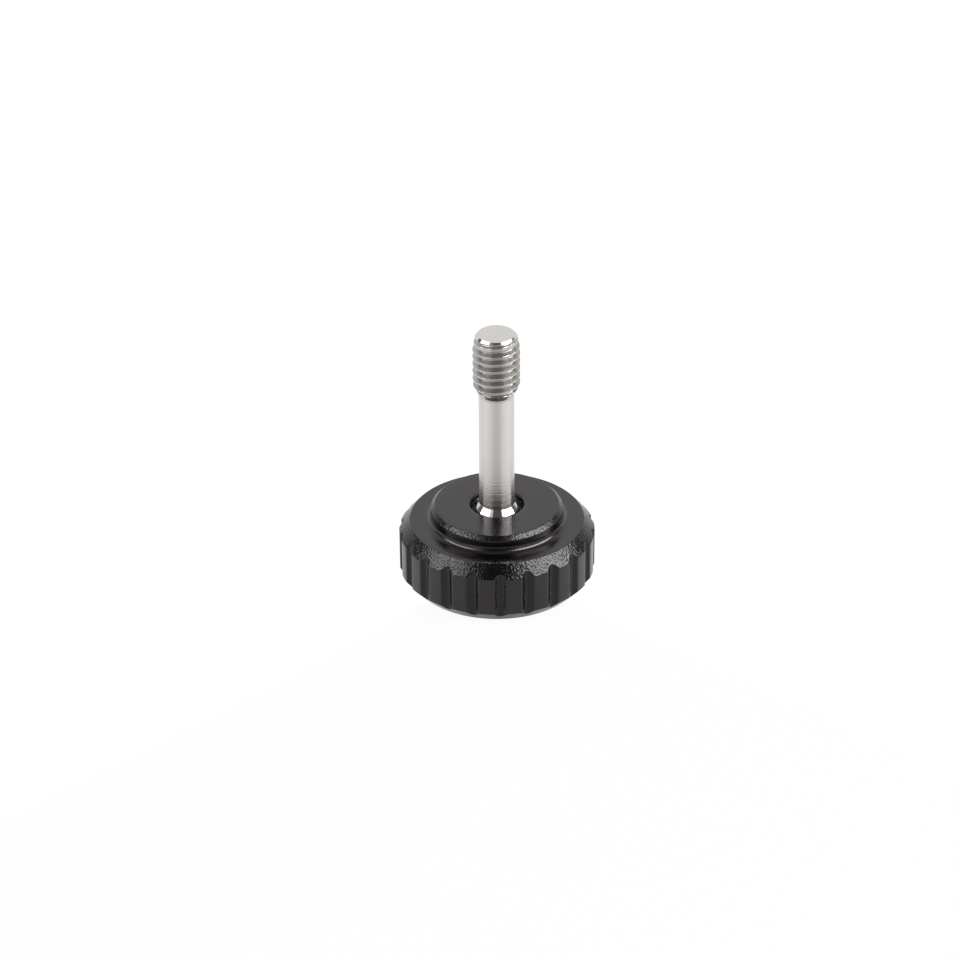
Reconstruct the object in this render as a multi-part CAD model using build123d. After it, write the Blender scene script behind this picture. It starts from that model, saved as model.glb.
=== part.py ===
from build123d import *
import os
from math import radians, tan

os.makedirs("parts", exist_ok=True)

# Millimetres, +Z up the screw. The origin is the centre of the knob's underside, on which the
# screw stands with its thread upwards, and a flute of the rim faces -Y.

# Knob disc
knob_diameter = 25.0
disc_height = 8.3
shoulder_chamfer_width = 1.4
shoulder_chamfer_height = 1.6
foot_chamfer_width = 1.5
foot_chamfer_height = 1.6

# Boss on the disc, with the face that clamps the work
boss_diameter = 16.8
boss_height = 2.1
boss_edge_chamfer = 0.5
boss_root_radius = 0.8

# Finger flutes round the rim: a small round groove with broad rounded corners to the lands
flute_count = 22
flute_radius = 0.77
flute_depth = 0.52
flute_corner_radius = 0.45

# Collar of the stud, a polished cone that rises from just below the boss face to the shank
collar_diameter = 5.8
collar_edge_drop = 0.1
collar_cone_height = 0.8

# Counterbore in the boss, which clears the collar, and the blind bore below it, drilled to a point
collar_clearance = 0.3
counterbore_depth = 1.2
counterbore_mouth_chamfer = 0.5
root_diameter = 5.0
root_length = 5.5
root_end_chamfer = 0.4
root_fit_clearance = 0.01
root_end_clearance = 0.3
drill_point_angle = 118.0

# Plain shank, thinner than the thread so that the screw stays captive in a threaded panel
shank_diameter = 4.5
stud_reach = 24.5

# Threaded end: the crests of a metric coarse thread, which run out in a cone onto the shank
thread_diameter = 6.0
thread_end_length = 8.5
runout_length = 1.5
first_turn_length = 1.9
first_turn_relief = 0.3
tip_chamfer = 0.35

knob_radius = knob_diameter / 2
boss_radius = boss_diameter / 2
boss_face_z = disc_height + boss_height
collar_edge_z = boss_face_z - collar_edge_drop
counterbore_radius = collar_diameter / 2 + collar_clearance
counterbore_floor_z = boss_face_z - counterbore_depth
bore_radius = root_diameter / 2 + root_fit_clearance
bore_floor_z = counterbore_floor_z - root_length - root_end_clearance
drill_point_depth = bore_radius / tan(radians(drill_point_angle / 2))


def turned(half_section):
    """Turns a half section, drawn as radius and height, about the screw's axis."""
    return revolve(Plane.XZ * half_section, Axis.Z)


def knob_section():
    """Half section of the knob blank, with the boss rooted in the shoulder by a fillet."""
    outline = Polyline(
        (0, 0),
        (knob_radius - foot_chamfer_width, 0),
        (knob_radius, foot_chamfer_height),
        (knob_radius, disc_height - shoulder_chamfer_height),
        (knob_radius - shoulder_chamfer_width, disc_height),
        (boss_radius, disc_height),
        (boss_radius, boss_face_z - boss_edge_chamfer),
        (boss_radius - boss_edge_chamfer, boss_face_z),
        (counterbore_radius + counterbore_mouth_chamfer, boss_face_z),
        (counterbore_radius, boss_face_z - counterbore_mouth_chamfer),
        (counterbore_radius, counterbore_floor_z),
        (bore_radius, counterbore_floor_z),
        (bore_radius, bore_floor_z),
        (0, bore_floor_z - drill_point_depth),
        close=True,
    )
    section = make_face(outline)
    boss_root = section.vertices().sort_by_distance((boss_radius, disc_height))[0]
    return fillet(boss_root, boss_root_radius)


def rim_outline():
    """The fluted rim seen from above: round scallops that run over into the lands in a soft curve."""
    scallop_centre = knob_radius - flute_depth + flute_radius
    scallops = PolarLocations(scallop_centre, flute_count) * Circle(flute_radius)
    outline = Circle(knob_radius) - scallops
    outline = fillet(outline.vertices(), flute_corner_radius)
    return Rot(0, 0, -90) * outline


def make_knob():
    """Turns the blank and cuts the flutes, which run out through both chamfers of the rim."""
    blank = turned(knob_section())
    return blank & extrude(rim_outline(), boss_face_z)


def make_stud():
    """The stud in one turning: root, collar, shank and threaded end."""
    root_radius = root_diameter / 2
    shank_radius = shank_diameter / 2
    thread_radius = thread_diameter / 2
    root_end_z = counterbore_floor_z - root_length
    tip_z = boss_face_z + stud_reach
    thread_start_z = tip_z - thread_end_length
    outline = Polyline(
        (0, root_end_z),
        (root_radius - root_end_chamfer, root_end_z),
        (root_radius, root_end_z + root_end_chamfer),
        (root_radius, counterbore_floor_z),
        (collar_diameter / 2, counterbore_floor_z),
        (collar_diameter / 2, collar_edge_z),
        (shank_radius, collar_edge_z + collar_cone_height),
        (shank_radius, thread_start_z),
        (thread_radius, thread_start_z + runout_length),
        (thread_radius, tip_z - first_turn_length),
        (thread_radius - first_turn_relief, tip_z - tip_chamfer),
        (thread_radius - first_turn_relief - tip_chamfer, tip_z),
        (0, tip_z),
        close=True,
    )
    return turned(make_face(outline))


knob = make_knob()
stud = make_stud()

export_step(knob, "parts/knob.step")
export_step(stud, "parts/stud.step")
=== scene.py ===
import bpy
import math
from mathutils import Matrix, Vector


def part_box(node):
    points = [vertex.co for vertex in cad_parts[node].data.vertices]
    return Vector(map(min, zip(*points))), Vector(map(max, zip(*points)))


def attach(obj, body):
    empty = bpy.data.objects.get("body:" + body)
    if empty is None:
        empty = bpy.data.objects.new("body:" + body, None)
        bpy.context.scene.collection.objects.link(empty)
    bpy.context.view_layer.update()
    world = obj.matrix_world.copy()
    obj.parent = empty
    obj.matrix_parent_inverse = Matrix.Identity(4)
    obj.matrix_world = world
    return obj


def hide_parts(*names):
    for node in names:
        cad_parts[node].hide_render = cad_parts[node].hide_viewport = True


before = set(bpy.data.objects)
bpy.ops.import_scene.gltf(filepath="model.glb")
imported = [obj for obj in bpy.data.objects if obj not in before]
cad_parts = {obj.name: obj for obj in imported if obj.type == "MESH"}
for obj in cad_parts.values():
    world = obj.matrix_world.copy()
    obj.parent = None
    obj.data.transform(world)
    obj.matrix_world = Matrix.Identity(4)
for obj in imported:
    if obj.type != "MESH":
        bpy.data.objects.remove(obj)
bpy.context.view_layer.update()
mm = 0.001   # the frame and the meshes are in metres
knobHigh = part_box("knob")[1]   # the largest x, y and z of the CAD piece
studLow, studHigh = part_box("stud")
print("frame loaded: knob", tuple(knobHigh), "stud", tuple(studHigh))

# node helpers; a value is a number or another node's output

def feed(tree, socket, value):
    if isinstance(value, bpy.types.NodeSocket):
        tree.links.new(value, socket)
    else:
        socket.default_value = value


def addNode(tree, kind, inputs=None, **settings):
    node = tree.nodes.new(kind)
    for name, value in settings.items():
        setattr(node, name, value)
    for key, value in (inputs or {}).items():
        feed(tree, node.inputs[key], value)
    return node


# the first output of a new node
def result(tree, kind, inputs=None, **settings):
    return addNode(tree, kind, inputs, **settings).outputs[0]


# one step of arithmetic
def calc(tree, operation, *values):
    return result(tree, "ShaderNodeMath", dict(enumerate(values)), operation=operation)


def square(tree, value):
    return calc(tree, "MULTIPLY", value, value)


# low where the share is 0 and high where it is 1
def mix(tree, share, low, high):
    return result(tree, "ShaderNodeMix", {0: share, 2: low, 3: high})


# runs from low to high while the value runs from start to end, and stays level beyond
def ramp(tree, value, start, end, low, high, shape="LINEAR"):
    inputs = {"Value": value, "From Min": start, "From Max": end, "To Min": low, "To Max": high}
    return result(tree, "ShaderNodeMapRange", inputs, interpolation_type=shape)


def newObject(name, data):
    made = bpy.data.objects.new(name, data)
    bpy.context.scene.collection.objects.link(made)
    return made


# a geometry tree with named inputs, listed by their kind: the tree, its inputs and its last node
def newTree(name, sockets):
    tree = bpy.data.node_groups.new(name, "GeometryNodeTree")
    tree.interface.new_socket("Geometry", in_out="INPUT", socket_type="NodeSocketGeometry")
    for kind, titles in sockets.items():
        for title in titles:
            tree.interface.new_socket(title, in_out="INPUT", socket_type="NodeSocket" + kind)
    tree.interface.new_socket("Geometry", in_out="OUTPUT", socket_type="NodeSocketGeometry")
    return tree, tree.nodes.new("NodeGroupInput").outputs, tree.nodes.new("NodeGroupOutput")


def setInput(modifier, name, value):
    for item in modifier.node_group.interface.items_tree:
        if item.item_type == "SOCKET" and item.in_out == "INPUT" and item.name == name:
            modifier[item.identifier] = value


# runs a geometry tree on the base object and keeps the result as a plain mesh
def meshFromTree(name, base, tree, values):
    modifier = base.modifiers.new("shape", "NODES")
    modifier.node_group = tree
    for key, value in values.items():
        setInput(modifier, key, value)
    bpy.context.view_layer.update()
    evaluated = base.evaluated_get(bpy.context.evaluated_depsgraph_get())
    mesh = bpy.data.meshes.new_from_object(evaluated)
    base.modifiers.remove(modifier)
    bpy.data.objects.remove(base)
    mesh.name = name
    print(name, len(mesh.vertices), "vertices", len(mesh.polygons), "faces")
    return newObject(name, mesh)


# half sections for turning

arcStep = 0.1        # millimetres of an arc's radius for each of its steps
fewestArcSteps = 4


# the points of an outline as (place, finish); its corners are given as
# (radius, height, rounding, longest step onwards, finish onwards)
def roundedOutline(corners):
    points = []
    for before, here, after in zip([None] + corners, corners, corners[1:] + [None]):
        corner, rounding = Vector(here[:2]), here[2]
        if rounding == 0:
            points.append((corner, here[3], here[4]))
            continue
        back = (Vector(before[:2]) - corner).normalized()
        ahead = (Vector(after[:2]) - corner).normalized()
        half = back.angle(ahead) / 2
        reach = rounding / math.tan(half)
        centre = corner + (back + ahead).normalized() * rounding / math.sin(half)
        first, last = corner + back * reach - centre, corner + ahead * reach - centre
        sweep = first.angle_signed(last)
        arcSteps = max(fewestArcSteps, round(rounding / arcStep))
        for k in range(arcSteps + 1):
            spoke = first.copy()
            spoke.rotate(Matrix.Rotation(-sweep * k / arcSteps, 2))
            finish = before[4] + (here[4] - before[4]) * k / arcSteps
            points.append((centre + spoke, here[3] if k == arcSteps else rounding, finish))
    outline = []
    for (start, longest, finish), (end, _, _) in zip(points, points[1:]):
        count = max(1, math.ceil((end - start).length / longest))
        outline += [(start.lerp(end, k / count), finish) for k in range(count)]
    outline.append((points[-1][0], points[-1][2]))
    return outline


# a line through the outline's points, which keep their finish as an attribute
def outlineObject(name, outline):
    mesh = bpy.data.meshes.new(name)
    edges = [(k, k + 1) for k in range(len(outline) - 1)]
    mesh.from_pydata([(point.x * mm, 0, point.y * mm) for point, finish in outline], edges, [])
    finishes = mesh.attributes.new("finish", "FLOAT", "POINT")
    finishes.data.foreach_set("value", [finish for point, finish in outline])
    return newObject(name, mesh)


# parts that both trees share

def storedValue(tree, name):
    return result(tree, "GeometryNodeInputNamedAttribute", {"Name": name}, data_type="FLOAT")


def storeValue(tree, mesh, name, value):
    inputs = {"Geometry": mesh, "Name": name, "Value": value}
    return result(tree, "GeometryNodeStoreNamedAttribute", inputs, data_type="FLOAT")


# a grid to be bent round the axis until it meets itself: mesh, and each vertex's row and share of a turn
def roundGrid(tree, columns, rows):
    inputs = {"Vertices X": calc(tree, "ADD", columns, 1), "Vertices Y": rows}
    mesh = result(tree, "GeometryNodeMeshGrid", inputs)
    index = result(tree, "GeometryNodeInputIndex")
    row = calc(tree, "MODULO", index, rows)
    safeIndex = calc(tree, "ADD", index, 0.5)   # clear of whole rows, where the floor could slip
    column = calc(tree, "FLOOR", calc(tree, "DIVIDE", safeIndex, rows))
    return mesh, row, calc(tree, "DIVIDE", column, columns)


# what the outline's point for each row holds
def fromOutline(tree, outline, row, value, kind):
    inputs = {"Geometry": outline, "Value": value, "Index": row}
    return result(tree, "GeometryNodeSampleIndex", inputs, data_type=kind)


# the grid of a turned piece, with a row for each point of its outline: mesh, angle, radius, height, finish
def turnedGrid(tree, outline, columns):
    rows = addNode(tree, "GeometryNodeAttributeDomainSize", {"Geometry": outline}).outputs["Point Count"]
    mesh, row, turnShare = roundGrid(tree, columns, rows)
    place = fromOutline(tree, outline, row, result(tree, "GeometryNodeInputPosition"), "FLOAT_VECTOR")
    axes = addNode(tree, "ShaderNodeSeparateXYZ", {0: place}).outputs
    finish = fromOutline(tree, outline, row, storedValue(tree, "finish"), "FLOAT")
    return mesh, calc(tree, "MULTIPLY", turnShare, math.tau), axes["X"], axes["Z"], finish


# moves each vertex to its angle, radius and height, and keeps its finish
def placeRound(tree, mesh, angle, radius, height, finish):
    x = calc(tree, "MULTIPLY", radius, calc(tree, "COSINE", angle))
    y = calc(tree, "MULTIPLY", radius, calc(tree, "SINE", angle))
    place = result(tree, "ShaderNodeCombineXYZ", {"X": x, "Y": y, "Z": height})
    kept = storeValue(tree, mesh, "finish", finish)
    return result(tree, "GeometryNodeSetPosition", {"Geometry": kept, "Position": place})


mergeDistance = 0.001 * mm
crispBend = math.radians(43)   # an edge that bends more than this is drawn crisp


def isOver(tree, value, limit):
    return result(tree, "FunctionNodeCompare", {0: value, 1: limit}, operation="GREATER_THAN")


# merges doubles, keeps crisp edges crisp, gives the materials and ends the tree; the second
# material goes where the finish is nearer to 1
def finishTree(tree, geometry, sink, material, secondMaterial=None):
    merged = result(tree, "GeometryNodeMergeByDistance", {"Geometry": geometry, "Distance": mergeDistance})
    smooth = result(tree, "GeometryNodeSetShadeSmooth", {"Geometry": merged, "Shade Smooth": True})
    bend = addNode(tree, "GeometryNodeInputMeshEdgeAngle").outputs["Unsigned Angle"]
    crisp = {"Geometry": smooth, "Selection": isOver(tree, bend, crispBend), "Shade Smooth": False}
    split = result(tree, "GeometryNodeSetShadeSmooth", crisp, domain="EDGE")
    real = result(tree, "GeometryNodeRealizeInstances", {"Geometry": split})
    painted = result(tree, "GeometryNodeSetMaterial", {"Geometry": real, "Material": material})
    if secondMaterial:
        second = isOver(tree, storedValue(tree, "finish"), 0.5)
        coat = {"Geometry": painted, "Selection": second, "Material": secondMaterial}
        painted = result(tree, "GeometryNodeSetMaterial", coat)
    tree.links.new(painted, sink.inputs[0])


# knob

turnedFace, blasted = 0, 1   # finishes of the knob
fullyBlasted = 0.3           # share of a flute's depth from which its wall is wholly blasted

knobLook = {
    # millimetres; a chamfer is (width, height)
    "shoulderHeight": 8.3, "shoulderChamfer": (1.4, 1.6), "footChamfer": (1.5, 1.6),
    "bossRadius": 8.4, "bossEdge": 0.5, "bossRoot": 0.8,
    "counterboreRadius": 3.2, "counterboreDepth": 1.2,
    "mouthRadius": 3.48, "mouthSoftness": 0.08, "mouthTaper": 0.15, "mouthDepth": 0.6,
    "boreRadius": 2.51, "boreDepth": 5.8, "drillPoint": 1.5,
    "edgeSoftness": 0.07,
    "fluteRadius": 0.77, "fluteDepth": 0.52, "fluteCorner": 0.45, "fluteEdgeSoftness": 0.04,
    # counts round the rim, and the longest step between rows on each stretch
    "fluteCount": 22, "segments": 704,
    "steps": {
        "underside": 2.5, "footChamfer": 0.12, "lands": 0.6, "shoulderChamfer": 0.1, "shoulder": 0.4,
        "bossWall": 0.25, "bossEdge": 0.2, "bossFace": 0.8, "mouth": 0.2, "counterbore": 0.3,
        "counterboreFloor": 0.5, "bore": 2.0,
    },
}


# from the middle of the underside round the rim and over the boss to the drill point
def knobOutline(look):
    rim, face = knobHigh.x / mm, knobHigh.z / mm
    shoulder, soft, step = look["shoulderHeight"], look["edgeSoftness"], look["steps"]
    chamferWide, chamferHigh = look["shoulderChamfer"]
    footWide, footHigh = look["footChamfer"]
    bossWall, mouth = look["bossRadius"], look["mouthRadius"]
    wall, bore = look["counterboreRadius"], look["boreRadius"]
    mouthEnd = face - look["mouthDepth"]
    boreTop = face - look["counterboreDepth"]
    boreEnd = boreTop - look["boreDepth"]
    return roundedOutline([
        (0, 0, 0, step["underside"], turnedFace),
        (rim - footWide, 0, soft, step["footChamfer"], blasted),
        (rim, footHigh, soft, step["lands"], turnedFace),
        (rim, shoulder - chamferHigh, soft, step["shoulderChamfer"], blasted),
        (rim - chamferWide, shoulder, soft, step["shoulder"], turnedFace),
        (bossWall, shoulder, look["bossRoot"], step["bossWall"], turnedFace),
        (bossWall, face - look["bossEdge"], soft, step["bossEdge"], blasted),
        (bossWall - look["bossEdge"], face, soft, step["bossFace"], turnedFace),
        (mouth, face, look["mouthSoftness"], step["mouth"], turnedFace),
        (mouth - look["mouthTaper"], mouthEnd, soft, step["mouth"], turnedFace),
        (wall, mouthEnd - look["mouthTaper"], soft, step["counterbore"], turnedFace),
        (wall, boreTop, soft, step["counterboreFloor"], turnedFace),
        (bore, boreTop, 0, step["bore"], turnedFace),
        (bore, boreEnd, 0, step["bore"], turnedFace),
        (0, boreEnd - look["drillPoint"], 0, step["bore"], turnedFace),
    ])


# where a line from the axis crosses a circle, at an angle from the circle's centre: the middle of
# the crossings and half the way between them
def circleReach(tree, centre, radius, angle):
    aside = calc(tree, "MULTIPLY", centre, calc(tree, "SINE", angle))
    squares = calc(tree, "SUBTRACT", square(tree, radius), square(tree, aside))
    middle = calc(tree, "MULTIPLY", centre, calc(tree, "COSINE", angle))
    return middle, calc(tree, "SQRT", calc(tree, "MAXIMUM", squares, 0))


# radius of the fluted rim at an angle: the scallop's circle, the corner's circle and the land
def flutedRim(tree, given, angle):
    rim, scallop, corner = given["Rim Radius"], given["Flute Radius"], given["Flute Corner"]
    scallopCentre = calc(tree, "ADD", calc(tree, "SUBTRACT", rim, given["Flute Depth"]), scallop)
    cornerCentre = calc(tree, "SUBTRACT", rim, corner)
    # the corner's circle touches the rim from inside and the scallop's circle from outside, which
    # gives the angle of its centre, where the land starts
    both = calc(tree, "ADD", scallop, corner)
    sides = calc(tree, "ADD", square(tree, cornerCentre), square(tree, scallopCentre))
    opposite = calc(tree, "SUBTRACT", sides, square(tree, both))
    twice = calc(tree, "MULTIPLY", calc(tree, "MULTIPLY", cornerCentre, scallopCentre), 2)
    landStart = calc(tree, "ARCCOSINE", calc(tree, "DIVIDE", opposite, twice))
    # the two circles meet on the line between their centres, which gives the scallop's end
    share = calc(tree, "DIVIDE", scallop, both)
    along = calc(tree, "MULTIPLY", cornerCentre, calc(tree, "COSINE", landStart))
    across = calc(tree, "MULTIPLY", cornerCentre, calc(tree, "SINE", landStart))
    nearer = calc(tree, "MULTIPLY", share, calc(tree, "SUBTRACT", along, scallopCentre))
    meetAlong = calc(tree, "ADD", scallopCentre, nearer)
    scallopEnd = calc(tree, "ARCTAN2", calc(tree, "MULTIPLY", share, across), meetAlong)
    # angle from the nearest flute's middle; a flute faces -Y
    spacing = calc(tree, "DIVIDE", math.tau, given["Flute Count"])
    halfUp, halfDown = calc(tree, "MULTIPLY", spacing, 0.5), calc(tree, "MULTIPLY", spacing, -0.5)
    fromFront = calc(tree, "ADD", angle, math.pi / 2)
    fromFlute = calc(tree, "ABSOLUTE", calc(tree, "WRAP", fromFront, halfUp, halfDown))
    hollow = calc(tree, "SUBTRACT", *circleReach(tree, scallopCentre, scallop, fromFlute))
    toLand = calc(tree, "MAXIMUM", calc(tree, "SUBTRACT", landStart, fromFlute), 0)
    rounded = calc(tree, "ADD", *circleReach(tree, cornerCentre, corner, toLand))
    return mix(tree, calc(tree, "LESS_THAN", fromFlute, scallopEnd), rounded, hollow)


def flutedKnobTree():
    tree, given, sink = newTree("flutedKnob", {
        "Int": ("Segments", "Flute Count"),
        "Float": ("Rim Radius", "Flute Radius", "Flute Depth", "Flute Corner", "Edge Softness"),
        "Material": ("Turned Material", "Blasted Material")})
    mesh, angle, radius, height, finish = turnedGrid(tree, given["Geometry"], given["Segments"])
    rim = flutedRim(tree, given, angle)
    fluted = calc(tree, "SMOOTH_MIN", radius, rim, given["Edge Softness"])
    # the cut flutes are blasted like the chamfers
    cut = calc(tree, "DIVIDE", calc(tree, "SUBTRACT", radius, fluted),
               calc(tree, "MULTIPLY", given["Flute Depth"], fullyBlasted))
    finish = calc(tree, "MAXIMUM", finish, calc(tree, "MINIMUM", cut, 1))
    placed = placeRound(tree, mesh, angle, calc(tree, "MAXIMUM", fluted, 0), height, finish)
    finishTree(tree, placed, sink, given["Turned Material"], given["Blasted Material"])
    return tree


def makeKnob(look, turnedMaterial, blastedMaterial):
    base = outlineObject("knobOutline", knobOutline(look))
    return meshFromTree("flutedKnob", base, flutedKnobTree(), {
        "Segments": look["segments"], "Flute Count": look["fluteCount"], "Rim Radius": knobHigh.x,
        "Flute Radius": look["fluteRadius"] * mm, "Flute Depth": look["fluteDepth"] * mm,
        "Flute Corner": look["fluteCorner"] * mm, "Edge Softness": look["fluteEdgeSoftness"] * mm,
        "Turned Material": turnedMaterial, "Blasted Material": blastedMaterial})


# stud

fineTurned, cutThread, faced, polished = 0, 0.25, 0.6, 1   # finishes of the stud
flankAngle = math.radians(60)   # of the thread, to the axis
justOverHalf = 0.52   # of a step between rows, so that one row always lies this near

studLook = {
    # millimetres; threadTurn is in turns, and crestDarkness is the crests' share of the thread's darker
    # colour, which is painted shade, full in the grooves
    "collarRadius": 2.9, "collarEdgeDrop": 0.45, "collarConeHeight": 0.8, "collarEdgeRadius": 0.3,
    "coneFootRadius": 0.15,
    "shankRadius": 2.25, "rootRadius": 2.5, "rootChamfer": 0.4,
    "threadLength": 8.35, "runout": 1.4, "firstTurn": 1.9, "firstTurnRelief": 0.3, "tipChamfer": 0.35,
    "pitch": 1.0, "crestRadius": 2.98, "grooveRadius": 2.42, "crestFlat": 0.15,
    "grooveSoftness": 0.1, "threadTurn": -0.275, "darkenedDepth": 0.03, "crestDarkness": 0.5,
    # counts of the mesh, and the longest step between rows on each stretch below the thread
    "columns": 144, "rowsPerTurn": 40,
    "steps": {"rootEnd": 1.5, "rootChamfer": 1.0, "root": 2.0, "seat": 1.0, "collar": 0.4, "cone": 0.1,
              "shank": 0.5},
}


# from the root's end up to where the thread runs out on the shank
def studOutline(look):
    face, tip, rootEnd = knobHigh.z / mm, studHigh.z / mm, studLow.z / mm
    seat = face - knobLook["counterboreDepth"]
    collarEdge = face - look["collarEdgeDrop"]
    root, chamfer = look["rootRadius"], look["rootChamfer"]
    collar, shank, step = look["collarRadius"], look["shankRadius"], look["steps"]
    return roundedOutline([
        (0, rootEnd, 0, step["rootEnd"], fineTurned),
        (root - chamfer, rootEnd, 0, step["rootChamfer"], fineTurned),
        (root, rootEnd + chamfer, 0, step["root"], fineTurned),
        (root, seat, 0, step["seat"], fineTurned),
        (collar, seat, 0, step["collar"], polished),
        (collar, collarEdge, look["collarEdgeRadius"], step["cone"], polished),
        (shank, collarEdge + look["collarConeHeight"], look["coneFootRadius"], step["shank"], fineTurned),
        (shank, tip - look["threadLength"], 0, step["shank"], fineTurned),
    ])


# heights on the helix, whose rows meet one turn on at the seam; they stay within the threaded end,
# and the row next to the tip chamfer's edge moves onto it
def helixHeight(tree, given, row, turnShare):
    turnsUp = calc(tree, "ADD", calc(tree, "DIVIDE", row, given["Rows Per Turn"]), turnShare)
    rise = calc(tree, "MULTIPLY", calc(tree, "SUBTRACT", turnsUp, 1), given["Pitch"])
    rawHeight = calc(tree, "ADD", given["Thread Start"], rise)
    edge = calc(tree, "SUBTRACT", given["Tip"], given["Tip Chamfer"])
    offEdge = calc(tree, "ABSOLUTE", calc(tree, "SUBTRACT", rawHeight, edge))
    rowStep = calc(tree, "DIVIDE", given["Pitch"], given["Rows Per Turn"])
    nextToEdge = calc(tree, "LESS_THAN", offEdge, calc(tree, "MULTIPLY", rowStep, justOverHalf))
    snapped = mix(tree, nextToEdge, rawHeight, edge)
    return calc(tree, "MINIMUM", calc(tree, "MAXIMUM", snapped, given["Thread Start"]), given["Tip"])


# radius of the thread's form, from how far a height is from the nearest crest in the axis direction
def threadForm(tree, given, height, turnShare):
    turnsUp = calc(tree, "DIVIDE", calc(tree, "SUBTRACT", height, given["Thread Start"]), given["Pitch"])
    phase = calc(tree, "SUBTRACT", turnsUp, calc(tree, "ADD", turnShare, given["Thread Turn"]))
    turnsOff = calc(tree, "ABSOLUTE", calc(tree, "WRAP", phase, 0.5, -0.5))
    offCrest = calc(tree, "MULTIPLY", turnsOff, given["Pitch"])
    offFlat = calc(tree, "SUBTRACT", offCrest, calc(tree, "DIVIDE", given["Crest Flat"], 2))
    flank = calc(tree, "MULTIPLY", offFlat, math.tan(flankAngle))
    tooth = calc(tree, "SUBTRACT", given["Crest Radius"], flank)
    flatTooth = calc(tree, "MINIMUM", tooth, given["Crest Radius"])
    return calc(tree, "SMOOTH_MAX", flatTooth, given["Groove Radius"], given["Groove Softness"])


# radius of the first turn where the tip chamfer starts
def chamferEdge(tree, given):
    return calc(tree, "SUBTRACT", given["Crest Radius"], given["First Turn Relief"])


# radius of the blank that the thread is cut in: run-out cone, full diameter, relieved first turn
# and tip chamfer
def threadBlank(tree, given, height):
    overStart = calc(tree, "SUBTRACT", height, given["Thread Start"])
    widening = calc(tree, "SUBTRACT", given["Crest Radius"], given["Shank Radius"])
    coneRise = calc(tree, "DIVIDE", widening, given["Runout"])
    cone = calc(tree, "ADD", given["Shank Radius"], calc(tree, "MULTIPLY", overStart, coneRise))
    edge = chamferEdge(tree, given)
    reliefLength = calc(tree, "SUBTRACT", given["First Turn"], given["Tip Chamfer"])
    reliefRise = calc(tree, "DIVIDE", given["First Turn Relief"], reliefLength)
    underTip = calc(tree, "SUBTRACT", given["Tip"], height)
    underChamfer = calc(tree, "SUBTRACT", underTip, given["Tip Chamfer"])
    relief = calc(tree, "ADD", edge, calc(tree, "MULTIPLY", underChamfer, reliefRise))
    chamfer = calc(tree, "ADD", edge, underChamfer)
    lower = calc(tree, "MINIMUM", cone, relief)
    return calc(tree, "MINIMUM", lower, calc(tree, "MINIMUM", chamfer, given["Crest Radius"]))


# the threaded end, with an attribute that is 1 in the grooves, less on the crests and 0 on the tip chamfer;
# the material darkens the thread's colour by it, as painted shade that is full in the grooves
def threadedEnd(tree, given):
    length = calc(tree, "SUBTRACT", given["Tip"], given["Thread Start"])
    turns = calc(tree, "ADD", calc(tree, "CEIL", calc(tree, "DIVIDE", length, given["Pitch"])), 1)
    rows = calc(tree, "ADD", calc(tree, "MULTIPLY", turns, given["Rows Per Turn"]), 1)
    mesh, row, turnShare = roundGrid(tree, given["Columns"], rows)
    height = helixHeight(tree, given, row, turnShare)
    blank = threadBlank(tree, given, height)
    radius = calc(tree, "MINIMUM", blank, threadForm(tree, given, height, turnShare))
    underTip = calc(tree, "SUBTRACT", given["Tip"], height)
    onChamfer = calc(tree, "LESS_THAN", underTip, given["Tip Chamfer"])
    finish = mix(tree, onChamfer, cutThread, polished)
    angle = calc(tree, "MULTIPLY", turnShare, math.tau)
    placed = placeRound(tree, mesh, angle, radius, height, finish)
    # painted groove shade: full below the crests, and only the crest darkness share on the crests
    depth = calc(tree, "DIVIDE", calc(tree, "SUBTRACT", blank, radius), given["Darkened Depth"])
    grooveShade = ramp(tree, depth, 0, 1, given["Crest Darkness"], 1)
    threaded = calc(tree, "MULTIPLY", calc(tree, "SUBTRACT", 1, onChamfer), grooveShade)
    return storeValue(tree, placed, "threaded", threaded)


def tipFace(tree, given):
    radius = calc(tree, "SUBTRACT", chamferEdge(tree, given), given["Tip Chamfer"])
    inputs = {"Vertices": given["Columns"], "Radius": radius}
    disc = result(tree, "GeometryNodeMeshCircle", inputs, fill_type="TRIANGLE_FAN")
    lift = result(tree, "ShaderNodeCombineXYZ", {"Z": given["Tip"]})
    placed = result(tree, "GeometryNodeTransform", {"Geometry": disc, "Translation": lift})
    return storeValue(tree, placed, "finish", faced)


def threadedStudTree():
    tree, given, sink = newTree("threadedStud", {
        "Int": ("Columns", "Rows Per Turn"),
        "Float": ("Pitch", "Crest Radius", "Groove Radius", "Shank Radius", "Crest Flat", "Groove Softness",
                  "Thread Start", "Tip", "Runout", "First Turn", "First Turn Relief", "Tip Chamfer",
                  "Thread Turn", "Darkened Depth", "Crest Darkness"),
        "Material": ("Material",)})
    lower = placeRound(tree, *turnedGrid(tree, given["Geometry"], given["Columns"]))
    joined = addNode(tree, "GeometryNodeJoinGeometry")
    for piece in (tipFace(tree, given), threadedEnd(tree, given), lower):
        tree.links.new(piece, joined.inputs[0])
    finishTree(tree, joined.outputs[0], sink, given["Material"])
    return tree


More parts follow.
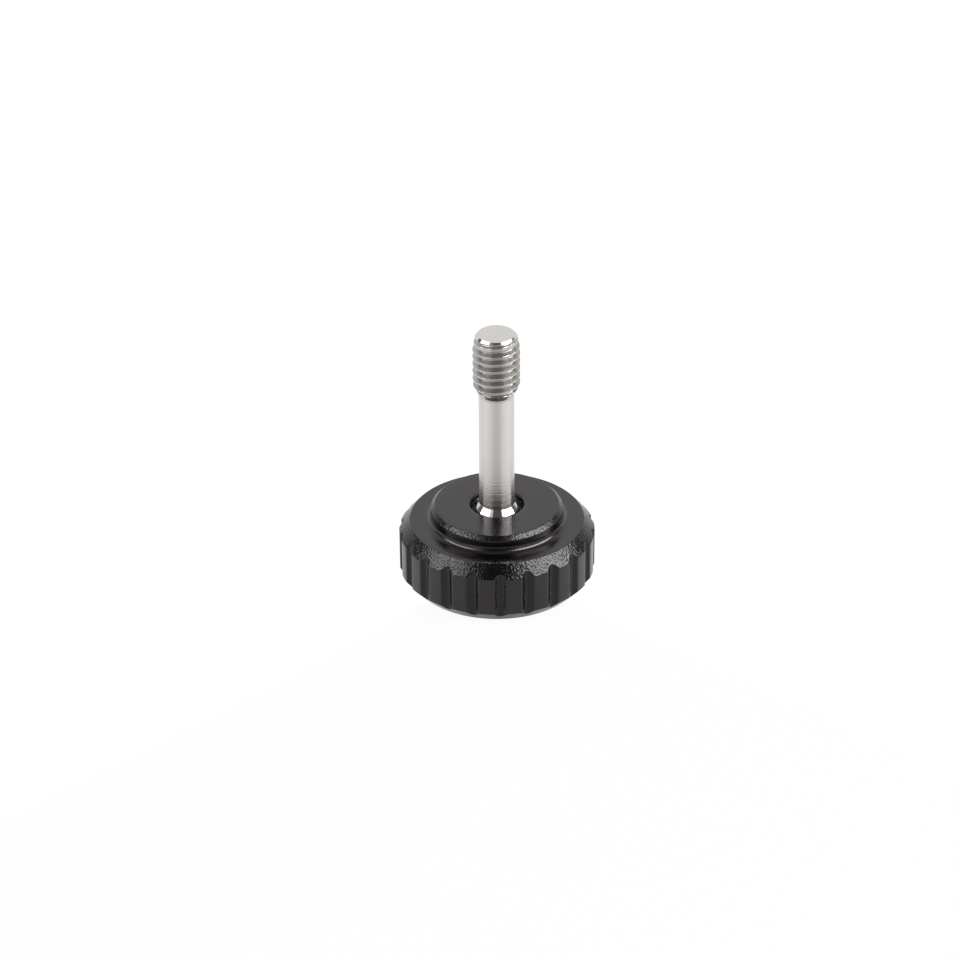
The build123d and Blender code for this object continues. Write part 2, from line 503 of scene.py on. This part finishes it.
def makeStud(look, material):
    base = outlineObject("studOutline", studOutline(look))
    return meshFromTree("threadedStud", base, threadedStudTree(), {
        "Columns": look["columns"], "Rows Per Turn": look["rowsPerTurn"], "Pitch": look["pitch"] * mm,
        "Crest Radius": look["crestRadius"] * mm, "Groove Radius": look["grooveRadius"] * mm,
        "Shank Radius": look["shankRadius"] * mm, "Crest Flat": look["crestFlat"] * mm,
        "Groove Softness": look["grooveSoftness"] * mm,
        "Thread Start": studHigh.z - look["threadLength"] * mm, "Tip": studHigh.z,
        "Runout": look["runout"] * mm, "First Turn": look["firstTurn"] * mm,
        "First Turn Relief": look["firstTurnRelief"] * mm, "Tip Chamfer": look["tipChamfer"] * mm,
        "Thread Turn": look["threadTurn"], "Darkened Depth": look["darkenedDepth"] * mm,
        "Crest Darkness": look["crestDarkness"], "Material": material})


# finishes

def newMaterial(name, **settings):
    material = bpy.data.materials.new(name)
    material.use_nodes = True
    shader = material.node_tree.nodes["Principled BSDF"]
    for key, value in settings.items():
        shader.inputs[key.replace("_", " ")].default_value = value
    return material, material.node_tree, shader


def objectPlace(tree):
    return addNode(tree, "ShaderNodeTexCoord").outputs["Object"]


# distance from the axis and height of a place in object coordinates, in millimetres
def radiusAndHeight(tree, place):
    axes = addNode(tree, "ShaderNodeSeparateXYZ", {0: place}).outputs
    squares = calc(tree, "ADD", square(tree, axes["X"]), square(tree, axes["Y"]))
    return calc(tree, "DIVIDE", calc(tree, "SQRT", squares), mm), calc(tree, "DIVIDE", axes["Z"], mm)


def meshValue(tree, name):
    return addNode(tree, "ShaderNodeAttribute", attribute_name=name).outputs["Fac"]


# noise in a size given in millimetres, as a value round 0.5
def grain(tree, place, size, detail=2.0):
    return result(tree, "ShaderNodeTexNoise", {"Vector": place, "Scale": 1 / (size * mm), "Detail": detail})


markDetail = 3.0


# fine lines left by the tool, which run round the axis
def toolMarks(tree, radius, height, spacing):
    inputs = {"W": calc(tree, "ADD", radius, height), "Scale": 1 / spacing, "Detail": markDetail}
    return result(tree, "ShaderNodeTexNoise", inputs, noise_dimensions="1D")


# shades the surface as if it had the height, which is in metres
def addBump(tree, shader, height):
    bump = result(tree, "ShaderNodeBump", {"Height": height, "Distance": 1.0})
    tree.links.new(bump, shader.inputs["Normal"])


blackLook = {
    # both finishes; sizes, spacings and depths in millimetres
    "colour": (0.0014, 0.0013, 0.0014, 1), "smudge": 0.06, "smudgeSize": 2.5,
    "grainSize": 0.25, "grainDetail": 0.8,
    # turned faces
    "turnedTint": (1.0, 0.9, 0.94, 1), "turnedIor": 1.535, "turnedRoughness": 0.2,
    "turnedGrainDepth": 0.012, "markSpacing": 0.15, "markDepth": 0.004,
    # blasted chamfers and flutes
    "blastedTint": (1.0, 0.97, 1.0, 1), "blastedIor": 1.41, "blastedRoughness": 0.18,
    "blastedGrainDepth": 0.062,
}


# gives the surface a roughness that differs a little from place to place
def addSmudges(tree, shader, place, look, roughness):
    off = calc(tree, "SUBTRACT", grain(tree, place, look["smudgeSize"]), 0.5)
    uneven = calc(tree, "ADD", calc(tree, "MULTIPLY", off, look["smudge"]), roughness)
    tree.links.new(uneven, shader.inputs["Roughness"])


# fine pits, as a height in metres
def pitted(tree, place, look, depth):
    return calc(tree, "MULTIPLY", grain(tree, place, look["grainSize"], look["grainDetail"]), depth * mm)


# smooth turned faces and lands, with faint tool marks and smudges
def blackTurnedMaterial(look):
    material, tree, shader = newMaterial("blackTurned", Base_Color=look["colour"], IOR=look["turnedIor"],
                                         Specular_Tint=look["turnedTint"])
    place = objectPlace(tree)
    radius, height = radiusAndHeight(tree, place)
    addSmudges(tree, shader, place, look, look["turnedRoughness"])
    marks = toolMarks(tree, radius, height, look["markSpacing"])
    markHeight = calc(tree, "MULTIPLY", marks, look["markDepth"] * mm)
    addBump(tree, shader, calc(tree, "ADD", markHeight, pitted(tree, place, look, look["turnedGrainDepth"])))
    return material


# finely blasted chamfers and flutes, with a grain that shows from close by
def blackBlastedMaterial(look):
    material, tree, shader = newMaterial("blackBlasted", Base_Color=look["colour"], IOR=look["blastedIor"],
                                         Specular_Tint=look["blastedTint"])
    place = objectPlace(tree)
    addSmudges(tree, shader, place, look, look["blastedRoughness"])
    addBump(tree, shader, pitted(tree, place, look, look["blastedGrainDepth"]))
    return material


steelLook = {
    "colour": (0.62, 0.6, 0.58, 1), "threadColour": (0.38, 0.365, 0.35, 1),
    "turnedRoughness": 0.21, "polishedRoughness": 0.08, "anisotropy": 1.0, "anisotropyTurn": 0.25,
    # millimetres; the tool marks are plain up to the first height and faint from the second on
    "markSpacing": 0.17, "markDepth": 0.026, "markContrast": 1.4,
    "marksFade": (13.0, 15.5), "marksLeft": 0.14,
    "threadGrain": 0.16, "threadGrainDepth": 0.02,
}


# fine-turned shank, polished collar and tip chamfer, and a thread that is torn and has a darker colour, with
# painted shade full in its grooves
def stainlessMaterial(look):
    material, tree, shader = newMaterial(
        "stainless", Base_Color=look["colour"], Metallic=1.0,
        Anisotropic=look["anisotropy"], Anisotropic_Rotation=look["anisotropyTurn"])
    place = objectPlace(tree)
    radius, height = radiusAndHeight(tree, place)
    finish, threaded = meshValue(tree, "finish"), meshValue(tree, "threaded")
    fadeFrom, fadeTo = look["marksFade"]
    offMean = calc(tree, "SUBTRACT", toolMarks(tree, radius, height, look["markSpacing"]), 0.5)
    marks = calc(tree, "MULTIPLY", offMean, ramp(tree, height, fadeFrom, fadeTo, 1, look["marksLeft"]))
    # the marks also darken and lighten the turned metal a little, but neither the thread nor the polish
    contrast = ramp(tree, calc(tree, "MAXIMUM", threaded, finish), 0, 1, look["markContrast"], 0)
    shade = calc(tree, "ADD", 1, calc(tree, "MULTIPLY", marks, contrast))
    # the thread's darker colour: painted shade, full in the grooves and lighter on the crests
    colours = {0: threaded, 6: look["colour"], 7: look["threadColour"]}
    colour = addNode(tree, "ShaderNodeMix", colours, data_type="RGBA").outputs[2]
    shaded = result(tree, "ShaderNodeVectorMath", {0: colour, 3: shade}, operation="SCALE")
    tree.links.new(shaded, shader.inputs["Base Color"])
    roughness = ramp(tree, finish, 0, 1, look["turnedRoughness"], look["polishedRoughness"])
    tree.links.new(roughness, shader.inputs["Roughness"])
    markDepth = ramp(tree, finish, 0, cutThread, look["markDepth"] * mm, 0)
    torn = calc(tree, "MULTIPLY", grain(tree, place, look["threadGrain"]), look["threadGrainDepth"] * mm)
    addBump(tree, shader, calc(tree, "ADD", calc(tree, "MULTIPLY", marks, markDepth),
                               calc(tree, "MULTIPLY", torn, threaded)))
    around = result(tree, "ShaderNodeTangent", direction_type="RADIAL", axis="Z")
    tree.links.new(around, shader.inputs["Tangent"])
    return material


knobPiece = makeKnob(knobLook, blackTurnedMaterial(blackLook), blackBlastedMaterial(blackLook))
studPiece = makeStud(studLook, stainlessMaterial(steelLook))

for piece, node, slot in ((knobPiece, "knob", "black_aluminium"), (studPiece, "stud", "stainless_steel")):
    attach(piece, "root")
    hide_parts(node)

# studio: white floor and surroundings, two long softboxes overhead at the sides, dim above the camera

studioLook = {
    # floor: size in metres, its own light in the camera's view and in mirrors; in mirrors it has painted
    # shade in front of the object and painted light beside and behind it, full from frontSpread degrees on
    "floorColour": (0.86, 0.86, 0.86, 1), "floorRoughness": 0.7, "floorSize": 4.0,
    "floorGlow": 0.94, "mirroredGlow": 0.74, "frontDim": 0.78, "sideGlow": 1.1, "frontSpread": 70,
    # surroundings: light on what isn't a mirror, and what mirrors see, white up to whiteTo degrees
    # and dim from dimFrom on
    "fill": 0.1, "topDim": 0.34, "whiteTo": 39, "dimFrom": 55,
    # dark cards: azimuth, elevation, half width, half height, brightness
    "cards": {
        "front": (0, 28, 23, 32, 0.1),
        "left": (-109, 25, 9, 11, 0.18),
        "right": (109, 24, 11, 12, 0.18),
    },
    "cardSoftness": 9,
    # softboxes: azimuth and elevation of both ends; distance and width in metres
    "softboxes": {
        "softboxLeft": {"front": (-48, 47), "rear": (-98, 30), "radiance": 6.0},
        "softboxRight": {"front": (35, 48), "rear": (100, 28), "radiance": 11.5},
    },
    "softboxDistance": 1.0, "softboxWidth": 0.32,
}


# unit vector towards an azimuth, from the front, and an elevation
def towards(azimuth, elevation):
    a, e = math.radians(azimuth), math.radians(elevation)
    return Vector((math.sin(a) * math.cos(e), -math.cos(a) * math.cos(e), math.sin(e)))


# whether the camera sees a ray, and whether the camera, a mirror or a glass does
def seenRays(tree):
    path = addNode(tree, "ShaderNodeLightPath").outputs
    direct = calc(tree, "MAXIMUM", path["Is Camera Ray"], path["Is Glossy Ray"])
    return path["Is Camera Ray"], calc(tree, "MAXIMUM", direct, path["Is Transmission Ray"])


# angle from the front of a direction, from its x and y, in degrees
def degreesFromFront(tree, x, y):
    return calc(tree, "DEGREES", calc(tree, "ARCTAN2", x, calc(tree, "MULTIPLY", y, -1)))


def whiteTableMaterial(look):
    material, tree, shader = newMaterial("whiteTable", Base_Color=look["floorColour"],
                                         Roughness=look["floorRoughness"])
    inView, seen = seenRays(tree)
    # painted shade and light: mirrors see it darker in front of the object and brighter beside and behind it
    axes = addNode(tree, "ShaderNodeSeparateXYZ", {0: objectPlace(tree)}).outputs
    sideways = degreesFromFront(tree, calc(tree, "ABSOLUTE", axes["X"]), axes["Y"])
    mirrored = ramp(tree, sideways, 0, look["frontSpread"], look["frontDim"], look["sideGlow"])
    glow = result(tree, "ShaderNodeEmission", {"Strength": calc(tree, "MAXIMUM", mirrored, inView)})
    share = calc(tree, "MAXIMUM", calc(tree, "MULTIPLY", inView, look["floorGlow"]),
                 calc(tree, "MULTIPLY", seen, look["mirroredGlow"]))
    surface = result(tree, "ShaderNodeMixShader", {0: share, 1: shader.outputs[0], 2: glow})
    tree.links.new(surface, tree.nodes["Material Output"].inputs["Surface"])
    return material


def makeFloor(look):
    half = look["floorSize"] / 2
    corners = [(-half, -half, 0), (half, -half, 0), (half, half, 0), (-half, half, 0)]
    mesh = bpy.data.meshes.new("floor")
    mesh.from_pydata(corners, [], [(0, 1, 2, 3)])
    mesh.materials.append(whiteTableMaterial(look))
    floor = newObject("floor", mesh)


# flat lamps whose ends lie in the given directions
def makeSoftboxes(look):
    distance = look["softboxDistance"]
    for name, box in look["softboxes"].items():
        front, rear = towards(*box["front"]), towards(*box["rear"])
        outwards = (front + rear).normalized()
        length = (rear - front).normalized()
        lamp = bpy.data.lights.new(name, "AREA")
        lamp.shape = "RECTANGLE"
        lamp.size = 2 * distance * math.tan(front.angle(rear) / 2)
        lamp.size_y = look["softboxWidth"]
        lamp.energy = box["radiance"] * math.pi * lamp.size * lamp.size_y
        turn = Matrix((length, outwards.cross(length), outwards)).transposed()
        holder = newObject(name, lamp)
        holder.matrix_world = Matrix.Translation(outwards * distance) @ turn.to_4x4()


# 1 where an angle is within the reach of a middle value, falling to 0 over the softness
def within(tree, angle, middle, reach, softness):
    off = calc(tree, "ABSOLUTE", calc(tree, "SUBTRACT", angle, middle))
    return ramp(tree, off, reach, reach + softness, 1, 0, "SMOOTHSTEP")


def makeWorld(look):
    world = bpy.data.worlds.new("studio")
    bpy.context.scene.world = world
    world.use_nodes = True
    tree = world.node_tree
    direction = addNode(tree, "ShaderNodeTexCoord").outputs["Generated"]
    axes = addNode(tree, "ShaderNodeSeparateXYZ", {0: direction}).outputs
    azimuth = degreesFromFront(tree, axes["X"], axes["Y"])
    elevation = calc(tree, "DEGREES", calc(tree, "ARCSINE", axes["Z"]))
    mirrored = ramp(tree, elevation, look["whiteTo"], look["dimFrom"], 1, look["topDim"], "SMOOTHSTEP")
    for middle, height, halfWidth, halfHeight, brightness in look["cards"].values():
        covered = calc(tree, "MULTIPLY", within(tree, azimuth, middle, halfWidth, look["cardSoftness"]),
                       within(tree, elevation, height, halfHeight, look["cardSoftness"]))
        mirrored = mix(tree, covered, mirrored, brightness)
    inView, seen = seenRays(tree)
    strength = ramp(tree, seen, 0, 1, look["fill"], calc(tree, "MAXIMUM", mirrored, inView))
    background = tree.nodes["Background"]
    background.inputs["Color"].default_value = (1, 1, 1, 1)
    tree.links.new(strength, background.inputs["Strength"])


makeFloor(studioLook)
makeSoftboxes(studioLook)
makeWorld(studioLook)
print("studio ready")

cameraLook = {
    # degrees
    "azimuth": -1.85, "elevation": 30.76, "roll": -0.24,
    # pixels of the picture: focal length, width, and the column that the screw's axis stands in
    "focal": 3550, "imageSize": 960, "axisPixel": 496.8,
    "aimHeight": 13.86, "sensorWidth": 36,              # millimetres
    "distance": 0.45, "nearest": 0.01, "farthest": 20,  # metres
}


def placeCamera(look):
    data = bpy.data.cameras.new("camera")
    camera = newObject("camera", data)
    back = towards(look["azimuth"], look["elevation"])
    camera.location = Vector((0, 0, look["aimHeight"] * mm)) + back * look["distance"]
    level = back.to_track_quat("Z", "Y").to_matrix()
    camera.rotation_euler = (level @ Matrix.Rotation(math.radians(look["roll"]), 3, "Z")).to_euler()
    data.sensor_width = look["sensorWidth"]
    data.lens = look["sensorWidth"] * look["focal"] / look["imageSize"]
    data.shift_x = -(look["axisPixel"] - look["imageSize"] / 2) / look["imageSize"]
    data.clip_start = look["nearest"]
    data.clip_end = look["farthest"]
    bpy.context.scene.camera = camera
    print("camera at", tuple(camera.location))


placeCamera(cameraLook)

bpy.context.scene.view_settings.view_transform = "Standard"
